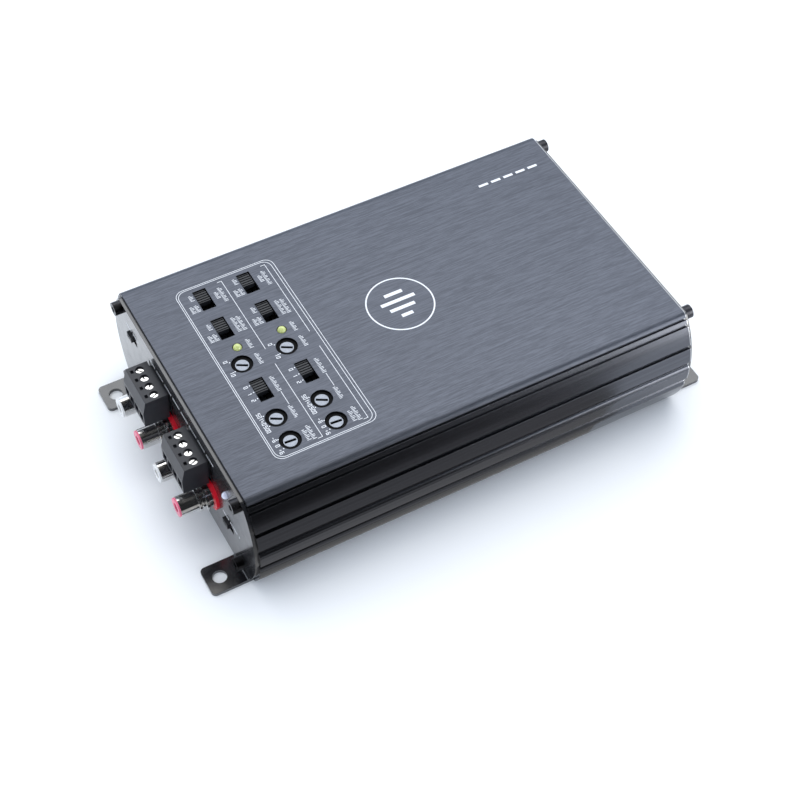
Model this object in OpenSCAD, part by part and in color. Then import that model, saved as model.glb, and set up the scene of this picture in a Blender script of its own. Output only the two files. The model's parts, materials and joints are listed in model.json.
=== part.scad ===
// Four-channel car amplifier.
// +X runs along the case from the input end to the output end, +Y across it,
// +Z up. The origin is under the middle of the case, on the plane of the feet.

/* [Case] */
// Length of the extruded case
case_len = 192; // [160:1:240]
// Greatest width of the case
case_w = 133.4; // [125:0.1:150]
// Height of the case above the plane of the feet
case_h = 52; // [50:0.5:60]
// Radius of the bulging sides
side_r = 42; // [38:1:60]
// Radius where the top rolls into the side
shoulder_r = 3.5; // [2:0.5:5]
// Thickness of the top panel
top_t = 3.2; // [2:0.1:5]
// Thickness of the side walls
side_t = 3; // [2:0.1:4]

/* [End plates] */
// Thickness of the bent steel end plates
plate_t = 1.5; // [1:0.1:2]
// How far the plates stay inside the outline of the case
plate_inset = 1.5; // [1:0.1:2]
// Length of each foot outside the plate
foot_len = 15.2; // [14:0.1:20]
// Width of each foot
foot_w = 13.2; // [10:0.1:18]
// Distance between hole centres along the case
hole_span_x = 214; // [208:0.5:216]
// Distance between hole centres across the case
hole_span_y = 101.6; // [98:0.1:104]
// Diameter of the fixing holes in the feet
foot_hole_d = 5.8; // [4:0.1:7]

/* [Controls] */
// Distance between the two columns of controls
column_pitch = 19.1; // [17:0.1:20]
// Length of each switch slot
switch_slot_len = 11; // [9:0.1:12]
// Width of each switch slot
switch_slot_w = 5.6; // [4.5:0.1:6]
// Diameter of the trimmer holes
pot_hole_d = 8.6; // [8:0.1:9]
// Diameter of the slotted rotors
rotor_d = 5.4; // [5:0.1:6]

/* [Inputs] */
// Distance between neighbouring RCA sockets
rca_pitch = 18.2; // [17.5:0.1:18.5]
// Outside diameter of the RCA barrels
rca_d = 8.3; // [8:0.05:8.6]
// Height of the RCA sockets above the feet
rca_z = 21.7; // [21.5:0.1:22]
// Distance between neighbouring terminal screws
terminal_pitch = 4.6; // [4:0.1:5]

/* [Hidden] */
$fn = 48;
eps = 0.01;
half_len = case_len / 2;
case_z0 = 0.4;
panel_z = case_h - top_t;
face_x = half_len + plate_t;
arc_z = 25.5;
arc_y = case_w / 2 - side_r;

// Main board, input board and control board: height of the top face of each.
board_t = 1.6;
main_z = 14.6;
input_z = 29.2;
control_z = 42.6;
rail_z = main_z - board_t;

// Control columns, seen from above.
column_x = [-49.1, -49.1 - column_pitch];
switch_y = [38.4, 21.4, -13.3];
pot_y = [1.4, -28.1, -39.9];
pot_dx = -1.1;
clip_y = 9.9;
clip_dx = 0.9;
lamp_d = 3.6;
lamp_top = case_h + 1.2;
slider_len = 6;
slider_travel = 4.4;

// Upper and lower end-plate screws.
upper_screw = [54.3, 47.6];
lower_screw = [52.5, 7.5];

// Plug-in terminal blocks on the input end.
input_ways = 4;
input_plug_y = [18.1, -18.1];
input_plug_z = 29;
plug_h = 13.4;
plug_reach = 11.5;
plug_nose = 7;
board_gap = 0.2;

// The metal barrels end just inside the line of the feet.
rca_reach = foot_len - 0.7;

// Two small slide switches and the status lamp on the input plate.
mode_switch_y = [44.9, -41.8];
mode_switch_z = [37.6, 18.2];
status_pos = [-42, 38];

// Output end.
speaker_ways = 8;
speaker_y = -22;
speaker_z = 14.4;
power_y = 32;
power_ways = 3;
power_pitch = 9.5;
power_screw_x = 100.5;

// Power supply toroid.
toroid_pos = [48, 22];
core_d = 30;
core_hole_d = 16;
core_h = 12;

// ---------- shared shapes ----------

// Round to a hundredth of a millimetre, so that mirrored edges meet exactly.
function tidy(v) = round(v * 100) / 100;

// Cross-section of the case in the Y-Z plane, as a flat shape (x = Y, y = Z).
// A corner circle of radius r touches the side arc where the straight line
// through both centres crosses it.
module outline(shrink = 0, z0 = 0, z1 = case_h, r0 = 4, r1 = shoulder_r) {
    low = z0 + shrink;
    high = z1 - shrink;
    rs = side_r - shrink;
    ra = max(r0 - shrink, 0.8);
    rb = max(r1 - shrink, 0.8);
    ya = tidy(arc_y + sqrt(pow(rs - ra, 2) - pow(low + ra - arc_z, 2)));
    yb = tidy(arc_y + sqrt(pow(rs - rb, 2) - pow(high - rb - arc_z, 2)));
    ta = tidy(arc_z + (low + ra - arc_z) * rs / (rs - ra));
    tb = tidy(arc_z + (high - rb - arc_z) * rs / (rs - rb));
    intersection() {
        side_bulge(rs);
        translate([-case_w, ta]) square([2 * case_w, tb - ta]);
    }
    for (side = [-1, 1]) {
        translate([side * ya, low + ra]) circle(ra);
        translate([side * yb, high - rb]) circle(rb);
    }
    translate([-ya, low]) square([2 * ya, ta - low + 1]);
    translate([-yb, tb - 1]) square([2 * yb, high - tb + 1]);
}

// Two large circles joined by a block: the full bulge before trimming.
module side_bulge(r) {
    for (side = [-1, 1]) {
        translate([side * arc_y, arc_z]) circle(r, $fn = 180);
    }
    translate([-arc_y, arc_z - r]) square([2 * arc_y, 2 * r]);
}

// Stand a Y-Z shape up and run it along X, centred on x = 0.
module run_x(len) {
    rotate([90, 0, 90]) linear_extrude(len, center = true) children();
}

// Rod along X starting at x = 0 and running to +X.
module rod_x(d, len) {
    rotate([0, 90, 0]) cylinder(d = d, h = len);
}

module ring_x(d_out, d_in, len) {
    difference() {
        rod_x(d_out, len);
        translate([-1, 0, 0]) rod_x(d_in, len + 2);
    }
}

// Box given by its lower corner and upper corner.
module span(a, b) {
    translate(a) cube(b - a);
}

// A child and its mirror image on the other long side.
module both_sides() {
    for (side = [0, 1]) {
        mirror([0, side, 0]) children();
    }
}

// ---------- case ----------

// Straight groove cut into the bulging side at height z.
module side_groove(z, width, depth) {
    angle = asin((z - arc_z) / side_r);
    for (side = [0, 1]) {
        mirror([side, 0]) translate([arc_y, arc_z]) rotate(angle)
            translate([side_r - depth, -width / 2]) square([depth + 2, width]);
    }
}

// Wide groove from z0 up to z1. The band below it rolls inward with radius r
// until it meets the flat back of the groove.
module rolled_groove(z0, z1, depth, r) {
    angle = asin((z0 - arc_z) / side_r);
    back_y = arc_y + side_r * cos(angle) - depth;
    for (side = [0, 1]) {
        mirror([side, 0]) difference() {
            translate([back_y, z0]) square([depth + 3, z1 - z0]);
            translate([arc_y, arc_z]) rotate(angle) translate([side_r - r - 0.05, 0]) circle(r);
        }
    }
}

module shell_section() {
    difference() {
        outline(z0 = case_z0);
        difference() {
            outline(shrink = side_t, z0 = case_z0 - 4, z1 = case_h - top_t + side_t);
            for (side = [-1, 1]) {
                translate([side * 54, 6]) square([15, 14], center = true);
                translate([side * upper_screw[0], upper_screw[1]]) circle(4);
            }
        }
        translate([-46.5, -1]) square([93, 20]);
        translate([-55.2, -1]) square([110.4, 3.4]);
        side_groove(50, 1, 1.6);
        side_groove(47.6, 1, 1.4);
        side_groove(38.8, 1.7, 1.6);
        rolled_groove(26.5, 31.4, 1.5, 2.2);
        rolled_groove(15.9, 21.2, 1.3, 3);
    }
}

module shell() {
    color("dimgray") difference() {
        run_x(case_len) shell_section();
        for (end = [-1, 1], side = [-1, 1], p = [upper_screw, lower_screw]) {
            translate([end * half_len, side * p[0], p[1]]) rotate([0, end * 90, 0])
                translate([0, 0, -14]) cylinder(d = 3, h = 15);
        }
        top_openings();
        for (p = cover_screw_points()) {
            translate([p[0], p[1], 0]) cylinder(d = 3, h = 10);
        }
        for (p = board_screw_points()) {
            translate([p[0], p[1], 7]) cylinder(d = 3, h = 9);
        }
    }
}

module top_openings() {
    for (cx = column_x) {
        for (y = switch_y) {
            translate([cx, y, case_h]) cube([switch_slot_w, switch_slot_len, 20], center = true);
        }
        for (y = pot_y) {
            translate([cx + pot_dx, y, panel_z - 1]) cylinder(d = pot_hole_d, h = 10);
        }
        translate([cx + clip_dx, clip_y, panel_z - 1]) cylinder(d = lamp_d + 0.4, h = 10);
    }
}

function cover_screw_points() = [for (x = [-60, 0, 60], y = [-51, 51]) [x, y]];
function board_screw_points() = [for (x = [-79, 79], y = [-51, 51]) [x, y]];

module bottom_cover() {
    color("silver") difference() {
        span([-half_len + 0.3, -55, case_z0], [half_len - 0.3, 55, 2.4]);
        for (p = cover_screw_points()) {
            translate([p[0], p[1], 0]) cylinder(d = 3.4, h = 5);
            translate([p[0], p[1], case_z0 - eps]) cylinder(d1 = 6.4, d2 = 3.4, h = 1.6);
        }
    }
}

module cover_screws() {
    color("black") for (p = cover_screw_points()) {
        translate([p[0], p[1], case_z0]) difference() {
            union() {
                cylinder(d1 = 6, d2 = 3, h = 1.5);
                cylinder(d = 3, h = 8.6);
            }
            translate([0, 0, -eps]) cylinder(d = 2, h = 1.2, $fn = 6);
        }
    }
}

// ---------- end plates ----------

// Flat shape of a foot seen from above, reaching from its tip to the plate.
module foot_plan() {
    low_y = hole_span_y / 2 - foot_w / 2;
    corner = 2;
    difference() {
        union() {
            translate([-foot_len + corner, low_y]) square([foot_len - corner + plate_t, foot_w]);
            translate([-foot_len, low_y + corner]) square([foot_len, foot_w - 2 * corner]);
            for (y = [low_y + corner, low_y + foot_w - corner]) {
                translate([-foot_len + corner, y]) circle(corner);
            }
        }
        translate([face_x - hole_span_x / 2, hole_span_y / 2]) circle(d = foot_hole_d);
    }
}

// Bent foot at the bottom of a plate whose outer face is at x = 0, growing to -X.
// The bend is a short run of flats in the corner between foot and plate.
module foot() {
    bend_r = 1.2;
    bend = [for (a = [0:22.5:90]) [bend_r * (sin(a) - 1), plate_t + bend_r * (1 - cos(a))]];
    linear_extrude(plate_t) foot_plan();
    translate([0, hole_span_y / 2 + foot_w / 2, 0]) rotate([90, 0, 0]) linear_extrude(foot_w)
        polygon(concat([[0.5, 0.5], [-bend_r, 0.5]], bend, [[0.5, plate_t + bend_r]]));
}

module end_plate_blank() {
    difference() {
        union() {
            translate([plate_t / 2, 0, 0]) run_x(plate_t) outline(shrink = plate_inset, z0 = 0.6 - plate_inset);
            both_sides() foot();
        }
        for (side = [-1, 1], p = [upper_screw, lower_screw]) {
            translate([-1, side * p[0], p[1]]) rod_x(3.3, plate_t + 2);
        }
    }
}

module input_plate() {
    color("black") translate([-face_x, 0, 0]) difference() {
        end_plate_blank();
        for (i = [0:3]) {
            translate([-1, rca_y(i), rca_z]) rod_x(10.4, plate_t + 2);
        }
        for (y = input_plug_y) {
            translate([-1, y - plug_w(input_ways) / 2 - 0.3, input_plug_z - 0.2])
                cube([plate_t + 2, plug_w(input_ways) + 0.6, plug_h + 0.4]);
        }
        translate([-1, status_pos[0], status_pos[1]]) rod_x(3.4, plate_t + 2);
        for (i = [0, 1]) {
            translate([-1, mode_switch_y[i] - 4, mode_switch_z[i] - 1.6])
                cube([plate_t + 2, 8, 3.2]);
        }
    }
}

module output_plate() {
    color("black") mirror([1, 0, 0]) translate([-face_x, 0, 0]) difference() {
        end_plate_blank();
        translate([-1, speaker_y - plug_w(speaker_ways) / 2 - 0.3, speaker_z - 0.2])
            cube([plate_t + 2, plug_w(speaker_ways) + 0.6, plug_h + 0.4]);
        translate([-1, power_y - power_ways * power_pitch / 2 - 0.3, main_z])
            cube([plate_t + 2, power_ways * power_pitch + 0.6, 15.4]);
    }
}

// Hexagon-socket screw, head outside the plate, thread running to +X.
module socket_screw_x(len) {
    head = 3.4;
    difference() {
        union() {
            translate([-head, 0, 0]) rod_x(5.6, head);
            rod_x(3, len);
        }
        translate([-head - eps, 0, 0]) rotate([0, 90, 0]) cylinder(d = 2.9, h = 1.8, $fn = 6);
    }
}

module plate_screws() {
    for (side = [-1, 1], p = [upper_screw, lower_screw]) {
        translate([-face_x, side * p[0], p[1]]) socket_screw_x(12);
    }
}

module input_plate_screws() {
    color("black") plate_screws();
}

module output_plate_screws() {
    color("black") mirror([1, 0, 0]) plate_screws();
}

// ---------- boards ----------

module main_board() {
    color("darkgreen") difference() {
        span([-half_len + 1, -57, rail_z], [half_len - 1, 57, main_z]);
        for (p = board_screw_points()) {
            translate([p[0], p[1], 0]) cylinder(d = 3.2, h = 20);
        }
    }
}

module board_screws() {
    color("silver") for (p = board_screw_points()) {
        translate([p[0], p[1], main_z]) {
            cylinder(d = 5.5, h = 2);
            translate([0, 0, -7]) cylinder(d = 3, h = 7.5);
        }
    }
}

function post_points() = [for (x = [-79, -41], y = [-44.5, 44.5]) [x, y]];

module board_posts() {
    color("gold") for (p = post_points()) {
        translate([p[0], p[1], main_z]) difference() {
            cylinder(d = 5.8, h = control_z - board_t - main_z, $fn = 6);
            translate([0, 0, control_z - board_t - main_z - 8]) cylinder(d = 2.5, h = 9);
        }
    }
}

module post_screws() {
    color("silver") for (p = post_points()) {
        translate([p[0], p[1], control_z]) {
            cylinder(d = 5, h = 1.8);
            translate([0, 0, -6]) cylinder(d = 2.5, h = 6.5);
        }
    }
}

module input_board() {
    color("darkgreen") span([-half_len + 1, -41, input_z - board_t], [-62, 41, input_z]);
}

module control_board() {
    color("darkgreen") difference() {
        span([-84, -49.5, control_z - board_t], [-38, 49.5, control_z]);
        for (p = post_points()) {
            translate([p[0], p[1], 0]) cylinder(d = 2.7, h = 60);
        }
    }
}

// Two rows of link pins in black strips: main to input board, input to control board.
module board_links() {
    color("black") {
        span([-70, -30, main_z], [-65, 30, input_z - board_t]);
        span([-70, -30, input_z], [-65, 30, control_z - board_t]);
    }
}

// ---------- RCA sockets ----------

function rca_y(i) = (1.5 - i) * rca_pitch;

module rca_bodies() {
    color("black") for (pair = [0, 1]) {
        difference() {
            span([-half_len + 0.3, rca_y(2 * pair + 1) - 6.5, main_z],
                 [-81, rca_y(2 * pair) + 6.5, input_z - board_t]);
            for (i = [0, 1]) {
                translate([-half_len - 1, rca_y(2 * pair + i), rca_z]) rod_x(8.3, 7);
            }
        }
    }
}

module rca_barrels() {
    color("silver") for (i = [0:3]) {
        translate([-face_x, rca_y(i), rca_z]) difference() {
            union() {
                translate([-rca_reach, 0, 0]) rod_x(rca_d, rca_reach + 6.7);
                translate([-7.2, 0, 0]) rod_x(10.2, 0.9);
                translate([-5.6, 0, 0]) rod_x(9.4, 1.2);
                translate([-4.4, 0, 0]) rod_x(11.2, 1.1);
                translate([-3.3, 0, 0]) rod_x(10.6, 2);
                translate([-1.3, 0, 0]) rod_x(9, 1.3);
            }
            translate([-rca_reach - 1, 0, 0]) rod_x(rca_d - 1.2, rca_reach + 6);
        }
    }
}

module rca_insulator(i) {
    translate([-face_x, rca_y(i), rca_z]) difference() {
        union() {
            translate([-foot_len, 0, 0]) rod_x(7.9, foot_len - rca_reach);
            translate([-rca_reach - 0.1, 0, 0]) rod_x(rca_d - 1.2, 12);
        }
        translate([-foot_len - 1, 0, 0]) rod_x(4, 20);
    }
}

module rca_insulators_red() {
    color("red") for (i = [1, 3]) rca_insulator(i);
}

module rca_insulators_white() {
    color("white") for (i = [0, 2]) rca_insulator(i);
}

module rca_contacts() {
    color("gold") for (i = [0:3]) {
        translate([-face_x - rca_reach + 0.6, rca_y(i), rca_z]) difference() {
            rod_x(4, 11.2);
            translate([-1, 0, 0]) rod_x(3.3, 9);
            translate([-1, -0.2, -3]) cube([5, 0.4, 6]);
        }
    }
}

module rca_collar(i) {
    translate([-face_x - 1.3, rca_y(i), rca_z]) ring_x(13.8, 9, 1.3);
    translate([-face_x, rca_y(i), rca_z]) ring_x(10.2, 9, plate_t);
}

module rca_collars_red() {
    color("red") for (i = [1, 3]) rca_collar(i);
}

module rca_collars_white() {
    color("white") for (i = [0, 2]) rca_collar(i);
}

// ---------- plug-in terminal blocks ----------

function plug_w(ways) = ways * terminal_pitch + 1;
function way_y(i, ways) = (i - (ways - 1) / 2) * terminal_pitch;

// Plug body with its mating face at x = 0, wire entries facing -X, floor at z = 0.
module plug_body(ways) {
    w = plug_w(ways);
    difference() {
        union() {
            translate([0, w / 2, 0]) rotate([90, 0, 0]) linear_extrude(w) polygon([
                [-1, 0], [-plug_reach, 0], [-plug_reach, 7.4],
                [-plug_reach + 1.4, plug_h], [-1, plug_h]]);
            translate([-1.2, -w / 2 + 1.4, 1.9]) cube([plug_nose + 1.2, w - 2.8, plug_h - 3.8]);
        }
        for (i = [0:ways - 1]) {
            translate([0, way_y(i, ways), 0]) plug_way_cuts();
        }
    }
}

// Wire entry, cage pocket, screw well, test slot and pin socket of one way.
module plug_way_cuts() {
    translate([-plug_reach - 1, -1.75, 1.6]) cube([4, 3.5, 4]);
    translate([-8.6, -1.75, 1.6]) cube([5.8, 3.5, 6]);
    translate([-5.2, 0, 5]) cylinder(d = 3.4, h = plug_h);
    translate([-8.9, -0.5, plug_h - 1.2]) cube([1.2, 1.6, 3]);
    translate([-3, -0.6, 4.2]) cube([plug_nose + 4, 1.2, 1.8]);
}

module plug_cages(ways) {
    for (i = [0:ways - 1]) {
        translate([-8.4, way_y(i, ways) - 1.65, 1.75]) difference() {
            cube([5.4, 3.3, 5.7]);
            translate([-1, 0.5, 0.6]) cube([7.4, 2.3, 3.6]);
            translate([3.2, 1.65, 3]) cylinder(d = 2.2, h = 5);
        }
    }
}

module plug_screws(ways) {
    for (i = [0:ways - 1]) {
        translate([-5.2, way_y(i, ways), 0]) difference() {
            union() {
                translate([0, 0, plug_h - 2.6]) cylinder(d = 3.2, h = 1.8);
                translate([0, 0, 6.2]) cylinder(d = 2.2, h = plug_h - 8.4);
            }
            rotate(i * 37 + 20) translate([-2, -0.3, plug_h - 1.4]) cube([4, 0.6, 1]);
        }
    }
}

// Header shroud that takes the nose of a plug; its mouth is at x = 0.
module header_shroud(ways) {
    w = plug_w(ways);
    difference() {
        translate([0.2, -w / 2, board_gap]) cube([plug_nose + 3, w, plug_h - 2 * board_gap]);
        translate([-1, -w / 2 + 1.2, 1.7]) cube([plug_nose + 1.3, w - 2.4, plug_h - 3.4]);
        for (i = [0:ways - 1]) {
            translate([0, way_y(i, ways) - 0.4, 4.7]) cube([30, 0.8, 0.8]);
        }
    }
}

// Square pins of a header, each bent down to its board.
module header_pins(ways) {
    for (i = [0:ways - 1]) {
        translate([1.2, way_y(i, ways) - 0.4, 4.7]) cube([plug_nose + 5, 0.8, 0.8]);
        translate([plug_nose + 5.4, way_y(i, ways) - 0.4, board_gap])
            cube([0.8, 0.8, 5.5 - board_gap]);
    }
}

module at_input(i) {
    translate([-face_x, input_plug_y[i], input_plug_z]) children();
}

module at_speaker() {
    translate([face_x, speaker_y, speaker_z]) mirror([1, 0, 0]) children();
}

module input_headers() {
    color("black") for (i = [0, 1]) at_input(i) header_shroud(input_ways);
}

module input_header_pins() {
    color("gold") for (i = [0, 1]) at_input(i) header_pins(input_ways);
}

module input_plug_1() {
    color("black") at_input(0) plug_body(input_ways);
}

module input_plug_2() {
    color("black") at_input(1) plug_body(input_ways);
}

module input_plug_1_cages() {
    color("gold") at_input(0) plug_cages(input_ways);
}

module input_plug_2_cages() {
    color("gold") at_input(1) plug_cages(input_ways);
}

module input_plug_1_screws() {
    color("silver") at_input(0) plug_screws(input_ways);
}

module input_plug_2_screws() {
    color("silver") at_input(1) plug_screws(input_ways);
}

module speaker_header() {
    color("black") at_speaker() {
        header_shroud(speaker_ways);
        header_pins(speaker_ways);
    }
}

module speaker_plug() {
    color("black") at_speaker() plug_body(speaker_ways);
}

module speaker_plug_metal() {
    color("silver") at_speaker() {
        plug_cages(speaker_ways);
        plug_screws(speaker_ways);
    }
}

// ---------- lamps ----------

module status_led() {
    color("white") translate([-face_x, status_pos[0], status_pos[1]]) {
        translate([-0.2, 0, 0]) rod_x(3, 3.5);
        translate([-0.2, 0, 0]) sphere(d = 3);
        translate([1.9, 0, 0]) rod_x(3.8, 1);
        for (side = [-1, 1]) {
            translate([2.8, side * 1.1 - 0.25, -0.25]) cube([12.7, 0.5, 0.5]);
            translate([15, side * 1.1 - 0.25, -0.25])
                cube([0.5, 0.5, control_z - board_t - status_pos[1] + 0.25]);
        }
    }
}

module clip_leds() {
    color("yellow") for (cx = column_x) {
        translate([cx + clip_dx, clip_y, control_z]) {
            cylinder(d = lamp_d + 0.8, h = 2);
            cylinder(d = lamp_d, h = lamp_top - control_z - lamp_d / 2);
            translate([0, 0, lamp_top - control_z - lamp_d / 2]) sphere(d = lamp_d);
        }
    }
}

// ---------- slide switches ----------

// Case of a panel slide switch, its floor at z = 0 and its long axis along Y.
module switch_case() {
    difference() {
        translate([-4.7, -7.4, 0]) cube([9.4, 14.8, 5.4]);
        translate([-3.1, -6, 1]) cube([6.2, 12, 2.6]);
        translate([-1.5, -3.7, 2]) cube([3, 7.4, 5]);
    }
}

// Ribbed button, its stem and the base that slides inside the case.
module switch_slider() {
    rib = 1.2;
    difference() {
        translate([-2.5, -slider_len / 2, 6.6]) cube([5, slider_len, 2.3]);
        for (i = [-2:2]) {
            translate([-3, i * rib - 0.25, 8.4]) cube([6, 0.5, 1]);
        }
    }
    translate([-1.2, -1.2, 2.8]) cube([2.4, 2.4, 4]);
    translate([-2.9, -3.5, 1.2]) cube([5.8, 7, 2.2]);
}

module switch_cases() {
    color("black") for (cx = column_x, y = switch_y) {
        translate([cx, y, control_z]) switch_case();
    }
}

// The sliders rest at the +Y end of their slots.
module slider(column, row) {
    color("dimgray") translate([column_x[column], switch_y[row] + slider_travel / 2, control_z])
        switch_slider();
}

module slider_1() { slider(0, 0); }
module slider_2() { slider(0, 1); }
module slider_3() { slider(0, 2); }
module slider_4() { slider(1, 0); }
module slider_5() { slider(1, 1); }
module slider_6() { slider(1, 2); }

module at_mode_switch(i) {
    translate([-half_len, mode_switch_y[i], mode_switch_z[i]]) children();
}

module mode_switch_cases() {
    floor_z = [input_z, main_z];
    color("black") for (i = [0, 1]) {
        at_mode_switch(i) {
            difference() {
                translate([0.3, -6, -3]) cube([5.4, 12, 6]);
                translate([2, -4.8, -1.8]) cube([2.4, 9.6, 3.6]);
                translate([0, -3, -0.9]) cube([3, 6, 1.8]);
            }
            for (y = [-5, -4]) {
                translate([2.5, y, floor_z[i] - mode_switch_z[i]])
                    cube([0.5, 0.5, mode_switch_z[i] - floor_z[i] - 2.9]);
            }
        }
    }
}

// Small slider seen through the slot in the input plate, resting at its +Y end.
module mode_slider(i) {
    color("dimgray") at_mode_switch(i) translate([0, 1.5, 0]) {
        difference() {
            translate([-2.6, -2.2, -1.3]) cube([2.6, 4.4, 2.6]);
            for (y = [-1, 0, 1]) {
                translate([-3, y - 0.2, -2]) cube([0.8, 0.4, 4]);
            }
        }
        translate([-0.2, -1.2, -0.7]) cube([2.6, 2.4, 1.4]);
        translate([2.2, -3, -1.6]) cube([2, 6, 3.2]);
    }
}

module mode_slider_1() { mode_slider(0); }
module mode_slider_2() { mode_slider(1); }

// ---------- trimmers ----------

module pot_case() {
    difference() {
        union() {
            translate([-4.8, -4.8, 0]) cube([9.6, 9.6, 4.6]);
            cylinder(d = pot_hole_d - 0.3, h = 8.6);
        }
        translate([0, 0, 2]) cylinder(d = rotor_d + 0.4, h = 10);
        translate([0, 0, 0.5]) cylinder(d = 3.1, h = 3);
    }
}

// Slotted rotor: pivot, drum and screwdriver slot.
module rotor(column, row) {
    slot_angle = [-30, -30, -5];
    color("lightgray") translate([column_x[column] + pot_dx, pot_y[row], control_z])
        difference() {
            union() {
                translate([0, 0, 0.7]) cylinder(d = 3, h = 2);
                translate([0, 0, 2.3]) cylinder(d = rotor_d, h = 6.4);
            }
            rotate(slot_angle[row]) translate([-2.3, -0.55, 6.2]) cube([4.6, 1.1, 3]);
        }
}

module pot_cases() {
    color("black") for (cx = column_x, y = pot_y) {
        translate([cx + pot_dx, y, control_z]) pot_case();
    }
}

module rotor_1() { rotor(0, 0); }
module rotor_2() { rotor(0, 1); }
module rotor_3() { rotor(0, 2); }
module rotor_4() { rotor(1, 0); }
module rotor_5() { rotor(1, 1); }
module rotor_6() { rotor(1, 2); }

// ---------- power and output parts on the main board ----------

module toroid_core() {
    color("darkslategray") translate([toroid_pos[0], toroid_pos[1], main_z + 2.4])
        difference() {
            cylinder(d = core_d, h = core_h);
            translate([0, 0, -1]) cylinder(d = core_hole_d, h = core_h + 2);
        }
}

module toroid_winding() {
    color("peru") translate([toroid_pos[0], toroid_pos[1], main_z]) difference() {
        cylinder(d = core_d + 5, h = core_h + 4.8);
        translate([0, 0, -1]) cylinder(d = core_hole_d - 5, h = core_h + 8);
        translate([0, 0, 2.4]) difference() {
            cylinder(d = core_d, h = core_h);
            translate([0, 0, -1]) cylinder(d = core_hole_d, h = core_h + 2);
        }
    }
}

module inductors() {
    size = 12;
    color("dimgray") for (x = [28:14:70]) {
        translate([x - size / 2, -22 - size / 2, main_z]) cube([size, size, 4]);
        translate([x, -22, main_z + 4]) cylinder(d = size - 0.6, h = 5);
        translate([x - size / 2, -22 - size / 2, main_z + 9]) cube([size, size, 1.5]);
    }
}

module capacitors() {
    color("midnightblue") for (x = [-10, 10], y = [-24, 24]) {
        translate([x, y, main_z]) {
            cylinder(d = 16, h = 26);
            translate([0, 0, 26]) cylinder(d = 14.6, h = 0.5);
        }
    }
}

module heat_bars() {
    color("silver") both_sides() span([-28, 46, main_z], [76, 50, panel_z]);
}

module transistors() {
    color("black") both_sides() for (x = [-16:26:62]) {
        translate([x - 5, 41.6, main_z + 5]) cube([10, 4.4, 15]);
        for (dx = [-2.54, 0, 2.54]) {
            translate([x + dx - 0.4, 43.2, main_z]) cube([0.8, 0.5, 5.2]);
        }
    }
}

function power_way_y(i) = power_y + (i - (power_ways - 1) / 2) * power_pitch;

module power_block() {
    width = power_ways * power_pitch;
    color("black") difference() {
        span([84, power_y - width / 2, main_z], [face_x + 7.5, power_y + width / 2, 29.8]);
        for (i = [0:power_ways - 1]) {
            translate([94, power_way_y(i) - 3.5, 16.6]) cube([20, 7, 8]);
            translate([power_screw_x, power_way_y(i), 24]) cylinder(d = 6, h = 8);
        }
    }
}

module power_cages() {
    color("gold") for (i = [0:power_ways - 1]) {
        difference() {
            translate([94.2, power_way_y(i) - 3.5, 16.6]) cube([9.6, 7, 8]);
            translate([95.2, power_way_y(i) - 2.7, 17.4]) cube([12, 5.4, 5.4]);
            translate([power_screw_x, power_way_y(i), 20.6]) cylinder(d = 4, h = 6);
        }
    }
}

module power_screws() {
    color("silver") for (i = [0:power_ways - 1]) {
        translate([power_screw_x, power_way_y(i), 0]) difference() {
            union() {
                translate([0, 0, 26]) cylinder(d = 5.8, h = 2.6);
                translate([0, 0, 22]) cylinder(d = 4, h = 4.5);
            }
            rotate(25 + 50 * i) translate([-4, -0.5, 27.4]) cube([8, 1, 2]);
        }
    }
}

shell();
bottom_cover();
cover_screws();
input_plate();
output_plate();
input_plate_screws();
output_plate_screws();
main_board();
board_screws();
board_posts();
post_screws();
input_board();
control_board();
board_links();
rca_bodies();
rca_barrels();
rca_insulators_red();
rca_insulators_white();
rca_contacts();
rca_collars_red();
rca_collars_white();
input_headers();
input_header_pins();
input_plug_1();
input_plug_2();
input_plug_1_cages();
input_plug_2_cages();
input_plug_1_screws();
input_plug_2_screws();
mode_switch_cases();
mode_slider_1();
mode_slider_2();
status_led();
clip_leds();
switch_cases();
slider_1();
slider_2();
slider_3();
slider_4();
slider_5();
slider_6();
pot_cases();
rotor_1();
rotor_2();
rotor_3();
rotor_4();
rotor_5();
rotor_6();
toroid_core();
toroid_winding();
inductors();
capacitors();
heat_bars();
transistors();
power_block();
power_cages();
power_screws();
speaker_header();
speaker_plug();
speaker_plug_metal();
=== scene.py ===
"""Looks of the four-channel car amplifier: materials, printed marks, floor, lights and camera.

The frame is the CAD part's own: +X runs from the input end to the output end, +Y across the case
and +Z up, with the origin under the middle of the case on the plane of the feet. Shapes here are
written in millimetres and made in metres.
"""

import json
import math

import bmesh
import bpy
from mathutils import Matrix, Vector


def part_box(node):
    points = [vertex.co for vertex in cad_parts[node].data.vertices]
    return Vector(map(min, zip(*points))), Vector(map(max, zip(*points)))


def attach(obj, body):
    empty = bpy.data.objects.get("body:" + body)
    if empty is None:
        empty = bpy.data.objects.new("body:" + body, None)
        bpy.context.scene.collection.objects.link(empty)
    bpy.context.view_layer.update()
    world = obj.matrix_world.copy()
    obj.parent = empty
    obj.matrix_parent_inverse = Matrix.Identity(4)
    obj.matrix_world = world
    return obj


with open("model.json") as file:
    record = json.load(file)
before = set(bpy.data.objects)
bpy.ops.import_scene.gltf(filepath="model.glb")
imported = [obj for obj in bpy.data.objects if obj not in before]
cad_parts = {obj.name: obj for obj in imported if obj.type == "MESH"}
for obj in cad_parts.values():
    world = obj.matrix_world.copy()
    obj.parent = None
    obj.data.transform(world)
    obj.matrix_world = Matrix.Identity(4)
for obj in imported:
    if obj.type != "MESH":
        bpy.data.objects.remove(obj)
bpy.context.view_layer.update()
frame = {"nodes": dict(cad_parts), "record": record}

MM = 0.001
ROOT_BODY = "chassis"

# The sliders rest this far from the middle of their slots.
SLIDER_REST = 2.2

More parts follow.
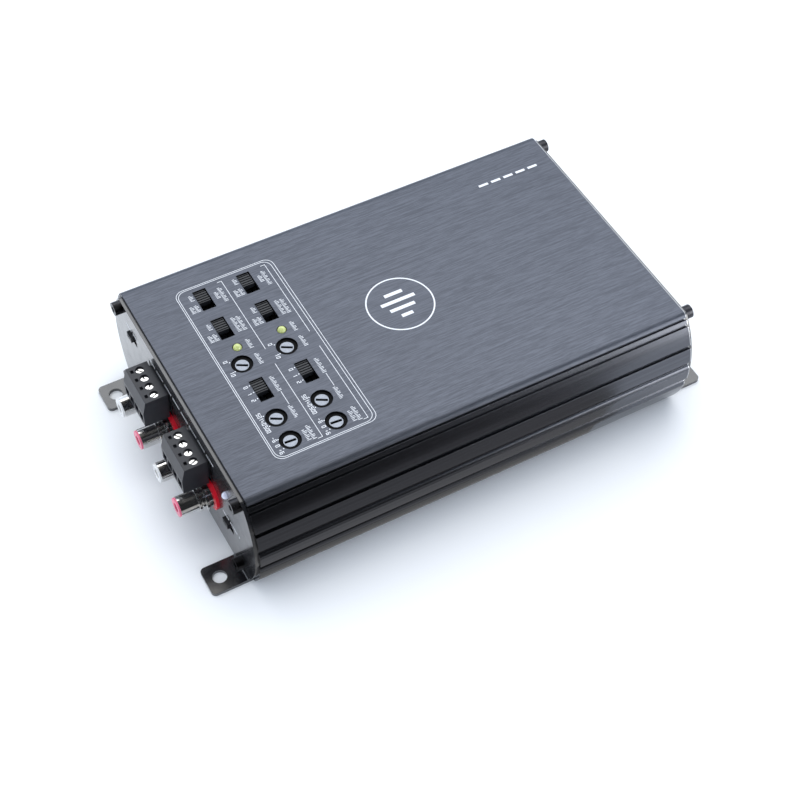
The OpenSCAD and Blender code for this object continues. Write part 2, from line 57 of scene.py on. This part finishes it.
TOP_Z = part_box("shell")[1].z / MM
CASE_END_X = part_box("shell")[1].x / MM
INPUT_PLATE_X = -97.5
ROTOR_TOP_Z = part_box("rotor_1")[1].z / MM
INK_HEIGHT = 0.03


def centre_of(node):
    """Middle of a CAD node seen from above, in millimetres."""
    low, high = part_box(node)
    return ((low.x + high.x) / 2 / MM, (low.y + high.y) / 2 / MM)


# ---------- material recipes ----------


class Recipe:
    """A material that is built one node at a time around its Principled shader."""

    def __init__(self, name, colour, metallic=0.0, roughness=0.5, **uniform):
        self.material = bpy.data.materials.new(name)
        self.material.use_nodes = True
        self.tree = self.material.node_tree
        self.shader = self.tree.nodes["Principled BSDF"]
        self.colour = colour
        self.roughness = roughness
        self.set("Base Color", (*colour, 1.0))
        self.set("Metallic", metallic)
        self.set("Roughness", roughness)
        for socket, value in uniform.items():
            self.set(socket.replace("_", " ").title().replace("Ior", "IOR"), value)

    def set(self, socket, value):
        """Give a shader socket a value, or link it to another node's output."""
        target = self.shader.inputs[socket]
        if isinstance(value, bpy.types.NodeSocket):
            self.tree.links.new(value, target)
        else:
            target.default_value = value

    def add(self, kind, inputs, output=0, **settings):
        """Add a node. Inputs are values or sockets by name or place. Returns one output."""
        node = self.tree.nodes.new(kind)
        for key, value in settings.items():
            setattr(node, key, value)
        for key, value in inputs.items():
            if isinstance(value, bpy.types.NodeSocket):
                self.tree.links.new(value, node.inputs[key])
            else:
                node.inputs[key].default_value = value
        return node.outputs[output]

    def math(self, operation, a, b=0.0):
        return self.add("ShaderNodeMath", {0: a, 1: b}, operation=operation)

    def place(self):
        """Position on the object, in metres."""
        return self.add("ShaderNodeTexCoord", {}, output="Object")

    def noise(self, stretch, detail=2.0, roughness=0.5, seed=0.0):
        """Noise from 0 to 1. Stretch is how many features fit in a millimetre along each axis."""
        scale = [s / MM for s in stretch]
        point = self.add(
            "ShaderNodeVectorMath", {0: self.place(), 1: scale, 2: [seed] * 3}, operation="MULTIPLY_ADD"
        )
        return self.add(
            "ShaderNodeTexNoise",
            {"Vector": point, "Scale": 1.0, "Detail": detail, "Roughness": roughness},
        )

    def span(self, value, low, high, start=0.0, end=1.0):
        """Map value from low..high to start..end, smoothly and without leaving that range."""
        return self.add(
            "ShaderNodeMapRange",
            {"Value": value, "From Min": low, "From Max": high, "To Min": start, "To Max": end},
            interpolation_type="SMOOTHSTEP",
        )

    def blend(self, share, a, b):
        """Colour a where share is 0, and b where it is 1."""
        node = self.tree.nodes.new("ShaderNodeMix")
        node.data_type = "RGBA"
        for key, value in ((0, share), (6, a), (7, b)):
            if isinstance(value, bpy.types.NodeSocket):
                self.tree.links.new(value, node.inputs[key])
            else:
                node.inputs[key].default_value = value if key == 0 else (*value, 1.0)
        return node.outputs[2]

    def edges(self, radius, low=0.02, high=0.3):
        """0 on open faces and 1 at edges that the rounded normal leaves behind."""
        rounded = self.add("ShaderNodeBevel", {"Radius": radius * MM}, samples=4)
        true_normal = self.add("ShaderNodeNewGeometry", {}, output="Normal")
        facing = self.add(
            "ShaderNodeVectorMath", {0: rounded, 1: true_normal}, output="Value", operation="DOT_PRODUCT"
        )
        return self.span(self.math("SUBTRACT", 1.0, facing), low, high)

    def surface(self, height, depth, edge_radius):
        """Round the edges by edge_radius and raise the surface by height, depth deep. Both in mm."""
        rounded = self.add("ShaderNodeBevel", {"Radius": edge_radius * MM}, samples=4)
        bump = self.add(
            "ShaderNodeBump", {"Height": height, "Distance": depth * MM, "Strength": 1.0, "Normal": rounded}
        )
        self.set("Normal", bump)


def shade(colour, factor):
    return tuple(min(1.0, c * factor) for c in colour)


def moulded(name, colour, roughness=0.45, grain=0.5, **uniform):
    """Moulded plastic: fine spark texture, faint flow marks and slightly lighter edges, partly wear and
    partly painted highlight.
    """
    m = Recipe(name, colour, roughness=roughness, **uniform)
    flow = m.noise((0.12, 0.12, 0.3), detail=3, seed=3)
    spark = m.noise((9, 9, 9), detail=2, seed=8)
    wear_and_highlight = m.edges(0.25)
    patchy = m.blend(m.span(flow, 0.3, 0.7), shade(colour, 0.86), shade(colour, 1.12))
    # Edges lightened: partly wear, partly painted highlight.
    m.set("Base Color", m.blend(m.math("MULTIPLY", wear_and_highlight, 0.35), patchy, shade(colour, 1.8)))
    uneven = m.math("MULTIPLY_ADD", flow, 0.12)
    uneven.node.inputs[2].default_value = roughness - 0.06
    m.set("Roughness", uneven)
    m.surface(spark, 0.004 * grain, 0.15)
    return m.material


def rotor_plastic():
    """Pale rotor whose screwdriver slot is painted near black: painted shade in the recess."""
    pale = (0.36, 0.38, 0.42)
    m = Recipe("rotor_plastic", pale, roughness=0.4)
    height = m.add("ShaderNodeSeparateXYZ", {0: m.place()}, output="Z")
    grain = m.noise((2.5, 2.5, 2.5), detail=3, seed=9)
    unshaded_face = m.blend(m.span(grain, 0.3, 0.7), shade(pale, 0.8), shade(pale, 1.15))
    # The slot below the rotor's top is painted near black: painted shade in the recess.
    inside = m.span(height, (ROTOR_TOP_Z - 0.4) * MM, (ROTOR_TOP_Z - 0.05) * MM)
    m.set("Base Color", m.blend(inside, (0.004, 0.004, 0.004), unshaded_face))
    m.set("Roughness", m.span(grain, 0.2, 0.8, 0.35, 0.5))
    m.surface(grain, 0.01, 0.12)
    return m.material


def metal(name, colour, roughness=0.25, stretch=(6, 6, 6), depth=0.002, **uniform):
    """Bare or plated metal: tool marks along one direction, dull patches and bright edges, partly wear and
    partly painted highlight.
    """
    m = Recipe(name, colour, metallic=1.0, roughness=roughness, **uniform)
    marks = m.noise(stretch, detail=2, seed=5)
    dull = m.noise((0.25, 0.25, 0.25), detail=4, seed=12)
    wear_and_highlight = m.edges(0.2)
    patchy = m.blend(m.span(dull, 0.35, 0.7), colour, shade(colour, 0.82))
    # Edges lightened: partly wear, partly painted highlight.
    m.set("Base Color", m.blend(m.math("MULTIPLY", wear_and_highlight, 0.4), patchy, shade(colour, 1.3)))
    uneven = m.math("MULTIPLY_ADD", m.span(dull, 0.3, 0.75), 0.14)
    uneven.node.inputs[2].default_value = roughness - 0.05
    m.set("Roughness", uneven)
    m.surface(marks, depth, 0.12)
    return m.material


def anodised_case():
    """Dark blue-grey anodised extrusion: brushed along X on top, die-drawn satin on the sides.

    Its edge at the output end carries a painted highlight: a bright band on its last quarter millimetre.
    """
    top_colour = (0.102, 0.110, 0.132)
    # The sides take a slightly darker colour than the top: painted shade.
    shaded_side_colour = (0.094, 0.098, 0.112)
    end_highlight = (0.75, 0.76, 0.78)
    m = Recipe("anodised_case", top_colour, metallic=1.0, roughness=0.38)
    height = m.add("ShaderNodeSeparateXYZ", {0: m.place()}, output="Z")
    on_top = m.span(height, (TOP_Z - 2.6) * MM, (TOP_Z - 1.6) * MM)

    fine = m.noise((0.13, 2.8, 2.8), detail=3, roughness=0.75, seed=1)
    coarse = m.noise((0.02, 1.1, 1.1), detail=3, roughness=0.6, seed=7)
    cloud = m.noise((0.015, 0.03, 0.03), detail=2, seed=4)
    streak = m.math("ADD", m.math("MULTIPLY", fine, 0.75), m.math("MULTIPLY", coarse, 0.25))
    brushed = m.blend(m.span(streak, 0.38, 0.62), shade(top_colour, 0.79), shade(top_colour, 1.24))
    brushed = m.blend(m.math("MULTIPLY", cloud, 0.25), brushed, shade(top_colour, 0.9))

    drawn = m.noise((0.006, 1.6, 1.6), detail=3, seed=15)
    satin = m.blend(m.span(drawn, 0.35, 0.65), shade(shaded_side_colour, 0.9), shade(shaded_side_colour, 1.1))
    body = m.blend(on_top, satin, brushed)
    # Edges lightened towards pale grey: painted highlight.
    body = m.blend(m.math("MULTIPLY", m.edges(0.25), 0.12), body, (0.5, 0.51, 0.54))

    # Bright band on the last quarter millimetre at the output end: painted highlight.
    along = m.add("ShaderNodeSeparateXYZ", {0: m.place()}, output="X")
    end_highlight_band = m.span(along, (CASE_END_X - 0.25) * MM, (CASE_END_X - 0.1) * MM)
    m.set("Base Color", m.blend(end_highlight_band, body, end_highlight))

    grip = m.math("MULTIPLY_ADD", on_top, 0.16)
    grip.node.inputs[2].default_value = 0.19
    m.set("Roughness", m.math("ADD", grip, m.math("MULTIPLY", streak, 0.08)))
    relief = m.math("MULTIPLY", streak, m.span(on_top, 0, 1, 0.12, 1))
    m.surface(relief, 0.006, 0.25)
    return m.material


def black_steel():
    """Smooth black coating on bent steel, with faint orange peel and rubbed edges lightened, partly wear
    and partly painted highlight.
    """
    m = Recipe("black_steel", (0.014, 0.014, 0.016), roughness=0.2, ior=1.8, coat_weight=0.4)
    m.set("Coat Roughness", 0.14)
    peel = m.noise((0.8, 0.8, 0.8), detail=2, seed=2)
    dust = m.noise((0.2, 0.2, 0.2), detail=5, seed=9)
    base = m.blend(m.span(dust, 0.4, 0.75), (0.012, 0.012, 0.014), (0.026, 0.026, 0.029))
    # Edges lightened towards grey: partly wear, partly painted highlight.
    m.set("Base Color", m.blend(m.math("MULTIPLY", m.edges(0.3), 0.12), base, (0.2, 0.2, 0.21)))
    m.set("Roughness", m.span(dust, 0.3, 0.8, 0.18, 0.28))
    m.surface(peel, 0.003, 0.2)
    return m.material


def lens(name, colour, glow):
    """Tinted lamp body that scatters light inside and lets a little through."""
    m = Recipe(name, colour, roughness=0.18, ior=1.5, coat_weight=0.5)
    depth = m.noise((0.7, 0.7, 0.7), detail=2, seed=6)
    m.set("Base Color", m.blend(m.span(depth, 0.3, 0.7), shade(colour, 0.85), shade(colour, 1.1)))
    m.set("Subsurface Weight", 0.35)
    m.set("Subsurface Radius", (0.001, 0.001, 0.001))
    m.set("Emission Color", (*colour, 1.0))
    m.set("Emission Strength", glow)
    m.set("Roughness", m.span(depth, 0.2, 0.8, 0.14, 0.24))
    m.surface(depth, 0.01, 0.1)
    return m.material


def solder_mask():
    """Green board with the faint pattern of tracks under the mask."""
    green = (0.03, 0.16, 0.07)
    m = Recipe("fr4", green, roughness=0.35, coat_weight=0.3)
    tracks = m.noise((0.4, 0.4, 0.4), detail=1, seed=11)
    line = m.span(m.math("PINGPONG", m.math("MULTIPLY", tracks, 6.0), 0.5), 0.2, 0.3)
    m.set("Base Color", m.blend(line, shade(green, 0.7), shade(green, 1.25)))
    m.set("Roughness", m.span(tracks, 0.3, 0.7, 0.3, 0.42))
    m.surface(line, 0.02, 0.1)
    return m.material


def ink():
    """White screen print: chalky, with thin spots where the brushed metal shows through."""
    m = Recipe("ink", (0.82, 0.83, 0.85), roughness=0.55)
    thin = m.noise((1.5, 4, 4), detail=2, seed=14)
    m.set("Base Color", m.blend(m.span(thin, 0.55, 0.8), (0.82, 0.83, 0.85), (0.55, 0.57, 0.6)))
    m.set("Roughness", m.span(thin, 0.2, 0.8, 0.5, 0.65))
    m.surface(thin, 0.004, 0.02)
    return m.material


def floor_material():
    m = Recipe("floor", (0.93, 0.93, 0.93), roughness=0.5)
    speck = m.noise((0.02, 0.02, 0.02), detail=3)
    m.set("Base Color", m.blend(speck, (0.92, 0.92, 0.92), (0.94, 0.94, 0.94)))
    return m.material


MATERIALS = {
    "anodised_case": anodised_case(),
    "black_steel": black_steel(),
    "black_oxide": metal("black_oxide", (0.05, 0.05, 0.055), roughness=0.3, depth=0.003),
    "zinc_steel": metal("zinc_steel", (0.6, 0.6, 0.58), roughness=0.35),
    "cover_sheet": metal("cover_sheet", (0.09, 0.09, 0.095), roughness=0.42, stretch=(0.1, 3, 3)),
    "fr4": solder_mask(),
    "brass": metal("brass", (0.78, 0.6, 0.28), roughness=0.28),
    "nickel": metal("nickel", (0.86, 0.85, 0.83), roughness=0.13, stretch=(8, 0.5, 0.5)),
    "black_plastic": moulded("black_plastic", (0.017, 0.018, 0.024), roughness=0.38),
    "grey_plastic": moulded("grey_plastic", (0.02, 0.021, 0.024), roughness=0.4),
    "dark_plastic": moulded("dark_plastic", (0.003, 0.003, 0.0035), roughness=0.6, specular_ior_level=0.1),
    "rotor_plastic": rotor_plastic(),
    "red_plastic": moulded("red_plastic", (0.8, 0.012, 0.03), roughness=0.25, grain=0.2),
    "pink_plastic": moulded("pink_plastic", (0.82, 0.16, 0.26), roughness=0.3, grain=0.2),
    "white_plastic": moulded("white_plastic", (0.8, 0.8, 0.79), roughness=0.28, grain=0.2),
    "milky_lens": lens("milky_lens", (0.72, 0.73, 0.86), 0.0),
    "green_lens": lens("green_lens", (0.6, 0.66, 0.25), 0.0),
    "ferrite": moulded("ferrite", (0.05, 0.05, 0.055), roughness=0.7, grain=2.0),
    "enamelled_wire": metal("enamelled_wire", (0.6, 0.24, 0.08), roughness=0.3, stretch=(2, 2, 0.2)),
    "sleeve": moulded("sleeve", (0.02, 0.035, 0.1), roughness=0.25, grain=0.3),
    "bare_aluminium": metal("bare_aluminium", (0.7, 0.7, 0.71), roughness=0.35, stretch=(0.1, 4, 4)),
}


PRINT_WHITE = ink()


# Nodes that look different from the rest of their slot: the pale inner moulding of a red socket.
OWN_LOOK = {"rca_insulators_red": "pink_plastic"}


def dress_cad():
    """Give every CAD node the material of its slot in the record, or its own."""
    for part in frame["record"]["subparts"]:
        node = frame["nodes"][part["node"]]
        for place in node.material_slots:
            place.material = MATERIALS[OWN_LOOK.get(part["node"], part["material_slot"])]


# ---------- printed marks ----------


class Print:
    """Flat marks of ink, drawn in a plane and raised by the ink's own thickness."""

    def __init__(self, name, to_world):
        self.name = name
        self.to_world = to_world
        self.mesh = bmesh.new()

    def prism(self, outline):
        """A closed outline of (u, v) points, drawn as a thin solid."""
        low = [self.mesh.verts.new((u, v, 0)) for u, v in outline]
        high = [self.mesh.verts.new((u, v, INK_HEIGHT)) for u, v in outline]
        self.mesh.faces.new(reversed(low))
        self.mesh.faces.new(high)
        for i in range(len(outline)):
            j = (i + 1) % len(outline)
            self.mesh.faces.new((low[i], low[j], high[j], high[i]))

    def ribbon(self, points, width, closed=False):
        """A line of even width through the points, with mitred corners."""
        points = [Vector(p) for p in points]
        count = len(points)
        sides = []
        for i, here in enumerate(points):
            before = points[i - 1] if closed or i else here
            after = points[(i + 1) % count] if closed or i < count - 1 else here
            first = (here - before).normalized() if before != here else None
            second = (after - here).normalized() if after != here else None
            first, second = first or second, second or first
            along = (first + second).normalized()
            across = Vector((-along.y, along.x))
            reach = width / 2 / max(0.3, along.dot(first))
            sides.append((here + across * reach, here - across * reach))
        steps = count if closed else count - 1
        for i in range(steps):
            (a, b), (c, d) = sides[i], sides[(i + 1) % count]
            self.prism([b, d, c, a])

    def bar(self, u0, v0, u1, v1):
        self.prism([(u0, v0), (u1, v0), (u1, v1), (u0, v1)])

    def dot(self, u, v, radius, corners=12):
        turn = 2 * math.pi / corners
        angles = [i * turn for i in range(corners)]
        self.prism([(u + radius * math.cos(a), v + radius * math.sin(a)) for a in angles])

    def finish(self, material, body=ROOT_BODY):
        bmesh.ops.recalc_face_normals(self.mesh, faces=self.mesh.faces)
        self.mesh.transform(self.to_world)
        data = bpy.data.meshes.new(self.name)
        self.mesh.to_mesh(data)
        self.mesh.free()
        data.materials.append(material)
        piece = bpy.data.objects.new(self.name, data)
        bpy.context.scene.collection.objects.link(piece)
        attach(piece, body)
        return piece


def rounded_rectangle(u0, v0, u1, v1, radius, steps=6):
    """Points around a rectangle with round corners, anticlockwise."""
    points = []
    corners = [(u1 - radius, v1 - radius), (u0 + radius, v1 - radius)]
    corners += [(u0 + radius, v0 + radius), (u1 - radius, v0 + radius)]
    for quarter, (u, v) in enumerate(corners):
        for i in range(steps + 1):
            angle = (quarter + i / steps) * math.pi / 2
            points.append((u + radius * math.cos(angle), v + radius * math.sin(angle)))
    return points


# The plane of the top: u along X and v along Y.
ON_TOP = Matrix.Diagonal((MM, MM, MM, 1)) @ Matrix.Translation((0, 0, TOP_Z))

# The plane of the input plate: u runs to -Y and v up.
ON_INPUT_PLATE = Matrix.Diagonal((MM, MM, MM, 1)) @ Matrix(
    ((0, 0, -1, INPUT_PLATE_X), (-1, 0, 0, 0), (0, 1, 0, 0), (0, 0, 0, 1))
)

LINE_WIDTH = 0.22
STROKE_WIDTH = 0.24
STROKE_HEIGHT = 1.7
STROKE_PITCH = 0.68
NUMBER_HEIGHT = 1.5

# Strokes of the digits and signs in a cell one unit wide and two units high.
GLYPHS = {
    "0": [[(0, 0), (1, 0), (1, 2), (0, 2), (0, 0)]],
    "1": [[(0.2, 1.6), (0.6, 2), (0.6, 0)]],
    "2": [[(0, 2), (1, 2), (1, 1), (0, 1), (0, 0), (1, 0)]],
    "4": [[(0, 2), (0, 0.8), (1, 0.8)], [(0.8, 1.4), (0.8, 0)]],
    "5": [[(1, 2), (0, 2), (0, 1.1), (1, 1.1), (1, 0), (0, 0)]],
    "6": [[(1, 2), (0, 2), (0, 0), (1, 0), (1, 1.1), (0, 1.1)]],
    "-": [[(0, 1), (1, 1)]],
    "+": [[(0, 1), (1, 1)], [(0.5, 0.4), (0.5, 1.6)]],
}


def strokes(marks, u, v_start, v_end):
    """Row of short plain strokes on the top, in place of a printed word."""
    count = max(2, round(abs(v_end - v_start) / STROKE_PITCH))
    for i in range(count):
        v = v_start + (v_end - v_start) * (i + 0.5) / count
        low, high = (u, u + STROKE_HEIGHT) if i % 3 else (u, u + STROKE_HEIGHT * 0.6)
        marks.bar(low, v - STROKE_WIDTH / 2, high, v + STROKE_WIDTH / 2)


def number(marks, text, u, v):
    """A number on the top that reads from +Y to -Y, with its middle at (u, v)."""
    unit = NUMBER_HEIGHT / 2
    step = unit * 1.7
    start = v + step * (len(text) - 1) / 2 + unit / 2
    for i, character in enumerate(text):
        for stroke in GLYPHS[character]:
            points = [(u + (y - 1) * unit, start - i * step - x * unit) for x, y in stroke]
            marks.ribbon(points, STROKE_WIDTH)


def control_frame(marks):
    """Double frame around both columns, and the bracket that closes each column."""
    for u0, v, u1 in ((-77.9, 46.6, -35.5), (-77.2, 45.9, -36.7)):
        marks.ribbon(rounded_rectangle(u0, -v, u1, v, 3.6), LINE_WIDTH, closed=True)
    for u in (-39.0, -58.1):
        hook = u - 1.9
        marks.ribbon([(hook, 44.1), (u, 44.1), (u, 4.0)], LINE_WIDTH)
        marks.ribbon([(u, -4.4), (u, -44.2), (hook, -44.2)], LINE_WIDTH)


def upper_switch_marks(marks, u, v, second_row):
    """Marks of one of the two switches at the +Y end of a column."""
    strokes(marks, u + 6.8, v + 3.2, v - 5.0)
    strokes(marks, u + 4.7, *second_row)
    strokes(marks, u - 5.2, v + 4.4, v + 1.0)
    strokes(marks, u - 5.2, v - 1.2, v - 5.2)
    strokes(marks, u - 7.2, v - 1.3, v - 5.2)


def lower_switch_marks(marks, u, v):
    """Marks of the third switch: a name and three numbered places."""
    strokes(marks, u + 5.0, v + 4.2, v - 4.0)
    for digit, place in zip("012", (3.6, 0.0, -3.4)):
        number(marks, digit, u - 5.0, v + place - 0.2)
        marks.dot(u - 3.3, v + place, 0.26)


def trimmer_marks(marks, u, v, numbers, name):
    """Name on the high side of a trimmer, and numbers and dots along its low side.

    Numbers are pairs of a text and its place along Y from the middle of the rotor.
    """
    strokes(marks, *name)
    for text, along in numbers:
        number(marks, text, u - 5.4, v + along)
    for text, along in (numbers[0], numbers[-1]):
        marks.dot(u - 4.0, v + along * 0.75, 0.26)


def top_print():
    """Frame, names, numbers and dots around the controls."""
    marks = Print("top_print", ON_TOP)
    control_frame(marks)
    for column in (0, 3):
        u, v = centre_of(f"slider_{column + 1}")
        middle = v - SLIDER_REST
        upper_switch_marks(marks, u, middle, (middle + 1.6, middle - 2.3))
        v = centre_of(f"slider_{column + 2}")[1]
        middle = v - SLIDER_REST
        upper_switch_marks(marks, u, middle, (middle + 3.4, middle - 4.8))
        lower_switch_marks(marks, u, centre_of(f"slider_{column + 3}")[1] - SLIDER_REST)
        strokes(marks, u + 5.0, 12.1, 6.9)
        marks.bar(u + 5.9, -24.6, u + 5.9 + LINE_WIDTH, -17.7)
        gain, corner, level = (centre_of(f"rotor_{column + row}") for row in (1, 2, 3))
        name = (u + 5.0, gain[1] + 2.6, gain[1] - 3.4)
        trimmer_marks(marks, *gain, (("0", 3.7), ("10", -3.0)), name)
        name = (u + 5.0, corner[1] + 3.0, corner[1] - 3.5)
        trimmer_marks(marks, *corner, (("50", 3.7), ("140", 0.5), ("500", -3.5)), name)
        name = (u + 6.4, level[1] + 3.3, level[1] - 4.0)
        trimmer_marks(marks, *level, (("-6", 2.8), ("0", -0.4), ("+6", -3.4)), name)
        strokes(marks, u + 4.4, level[1] + 2.1, level[1] - 3.6)
    marks.finish(PRINT_WHITE)


def emblem():
    """Plain ring with four level bars in the middle of the top, and five dashes near its far edge."""
    marks = Print("top_emblem", ON_TOP)
    turn = 2 * math.pi / 64
    ring = [(-0.9 + 13.6 * math.cos(i * turn), 13.6 * math.sin(i * turn)) for i in range(64)]
    marks.ribbon(ring, 0.6, closed=True)
    for place, length in ((-6.0, 5.0), (-2.0, 11.0), (2.0, 15.0), (6.0, 8.0)):
        marks.bar(-0.9 - length / 2, place - 0.8, -0.9 + length / 2, place + 0.8)
    for u in (60, 66, 72, 78, 84):
        marks.bar(u, 41.4, u + 4.4, 42.6)
    marks.finish(PRINT_WHITE)


def plate_print():
    """Rows of strokes on the input plate, beside the plugs and the small switches."""
    marks = Print("plate_print", ON_INPUT_PLATE)
    for start, end, height in ((-27.0, 33.0, 43.6), (36.7, 51.8, 22.0), (-51.0, -38.5, 41.5)):
        count = round((end - start) / (STROKE_PITCH * 1.6))
        for i in range(count):
            if i % 7 == 5:
                continue
            u = start + (end - start) * (i + 0.5) / count
            marks.bar(u - 0.28, height - 0.55, u + 0.28, height + 0.55)
    marks.finish(PRINT_WHITE)


# ---------- floor, lights and camera ----------

CAMERA_PLACE = Vector((-220.12, -382.57, 544.28)) * MM
CAMERA_AIM = Vector((-3.85, -6.71, 0.0)) * MM
CAMERA_ROLL = 1.348
CAMERA_LENS = 75.125

# Where the dark card in front gives way to the bright one, along X.
CARD_EDGE = 0.62

# Cards on the floor in front, seen only in reflections: name, (+X end, Y) of the far side and of the near
# side, and glow. The rows that glow are dimmer than the lit floor and stand in for its shade next to the
# case: painted shade in the reflections.
GROUND_ROWS = (
    ("ground_far", (CARD_EDGE, -1.1), (0.15, -0.26), 0.0),
    ("ground_middle", (0.15, -0.26), (0.075, -0.085), 0.35),
    ("ground_near", (0.075, -0.085), (0.062, -0.07), 0.5),
    ("ground_edge", (0.062, -0.07), (0.055, -0.0605), 0.25),
)


def make_camera():
    data = bpy.data.cameras.new("camera")
    data.lens = CAMERA_LENS
    data.sensor_width = 36.0
    data.clip_start = 0.01
    data.clip_end = 50.0
    camera = bpy.data.objects.new("camera", data)
    bpy.context.scene.collection.objects.link(camera)
    level = (CAMERA_AIM - CAMERA_PLACE).to_track_quat("-Z", "Y").to_matrix()
    camera.rotation_euler = (level @ Matrix.Rotation(math.radians(CAMERA_ROLL), 3, "Z")).to_euler()
    camera.location = CAMERA_PLACE
    bpy.context.scene.camera = camera


def sheet(name, corners, material):
    """Flat face through the given corners, in metres, that belongs to the studio."""
    data = bpy.data.meshes.new(name)
    data.from_pydata(corners, [], [tuple(range(len(corners)))])
    data.materials.append(material)
    made = bpy.data.objects.new(name, data)
    bpy.context.scene.collection.objects.link(made)
    return made


def card(name, corners, material):
    """Studio card that only reflections see, so it does not change the light on the floor."""
    made = sheet(name, corners, material)
    made.visible_camera = False
    made.visible_diffuse = False
    made.visible_shadow = False


def plain_card_material(name, colour, glow=0.0):
    m = Recipe(name, colour, roughness=0.9)
    m.set("Emission Color", (1.0, 1.0, 1.0, 1.0))
    m.set("Emission Strength", glow)
    return m.material


def upright(name, start, end, top, material):
    """Card that stands on the floor from start to end, both (x, y)."""
    (x0, y0), (x1, y1) = start, end
    card(name, [(x0, y0, 0), (x1, y1, 0), (x1, y1, top), (x0, y0, top)], material)


def level_card(name, x_range, y_range, z, material):
    """Card that lies level at height z."""
    (x0, x1), (y0, y1) = x_range, y_range
    card(name, [(x0, y0, z), (x1, y0, z), (x1, y1, z), (x0, y1, z)], material)


def cards():
    """Dark room in front, above and to the left of the case, and a bright card in front to the right."""
    dark = plain_card_material("dark_card", (0.004, 0.004, 0.004))
    bright = plain_card_material("bright_card", (0.8, 0.8, 0.8), glow=5.5)
    left, edge, right = -1.6, CARD_EDGE, 1.5
    front, roof = -1.1, 1.55
    upright("dark_wall", (left, front), (edge, front), roof, dark)
    upright("dark_side", (-1.2, -0.8), (-1.2, 0.9), 0.6, dark)
    upright("bright_wall", (edge, front), (right, front), 1.0, bright)
    level_card("dark_roof", (left, 0.45), (front, 1.0), roof, dark)
    level_card("dark_eave", (0.45, 0.75), (front, 0.0), roof, dark)
    # The glowing rows are painted shade of the floor next to the case, seen only in reflections.
    for name, (far_end, far_y), (near_end, near_y), glow in GROUND_ROWS:
        shade_card = plain_card_material(name, (0.004, 0.004, 0.004), glow=glow)
        row = [(left, far_y), (far_end, far_y), (near_end, near_y), (left, near_y)]
        card(name, [(x, y, 0.0015) for x, y in row], shade_card)


def soft_light(name, place, size, power, colour):
    """Square area light that looks at the middle of the case."""
    data = bpy.data.lights.new(name, "AREA")
    data.size = size
    data.energy = power
    data.color = colour
    light = bpy.data.objects.new(name, data)
    bpy.context.scene.collection.objects.link(light)
    light.location = place
    light.rotation_euler = (Vector((0, 0, 0.02)) - Vector(place)).to_track_quat("-Z", "Y").to_euler()


def make_world():
    world = bpy.data.worlds.new("studio")
    bpy.context.scene.world = world
    world.use_nodes = True
    background = world.node_tree.nodes["Background"]
    background.inputs["Color"].default_value = (0.83, 0.915, 1.04, 1.0)
    background.inputs["Strength"].default_value = 1.08


def make_studio():
    """Wide pale floor, soft overhead light, cards and a plain sky."""
    half = 6.0
    corners = [(-half, -half, 0), (half, -half, 0), (half, half, 0), (-half, half, 0)]
    sheet("floor", corners, floor_material())
    cards()
    make_world()
    soft_light("overhead", (0.25, 0.5, 1.6), 1.8, 17.0, (1.0, 0.985, 0.96))
    bpy.context.scene.view_settings.view_transform = "Standard"


dress_cad()
top_print()
emblem()
plate_print()
make_camera()
make_studio()
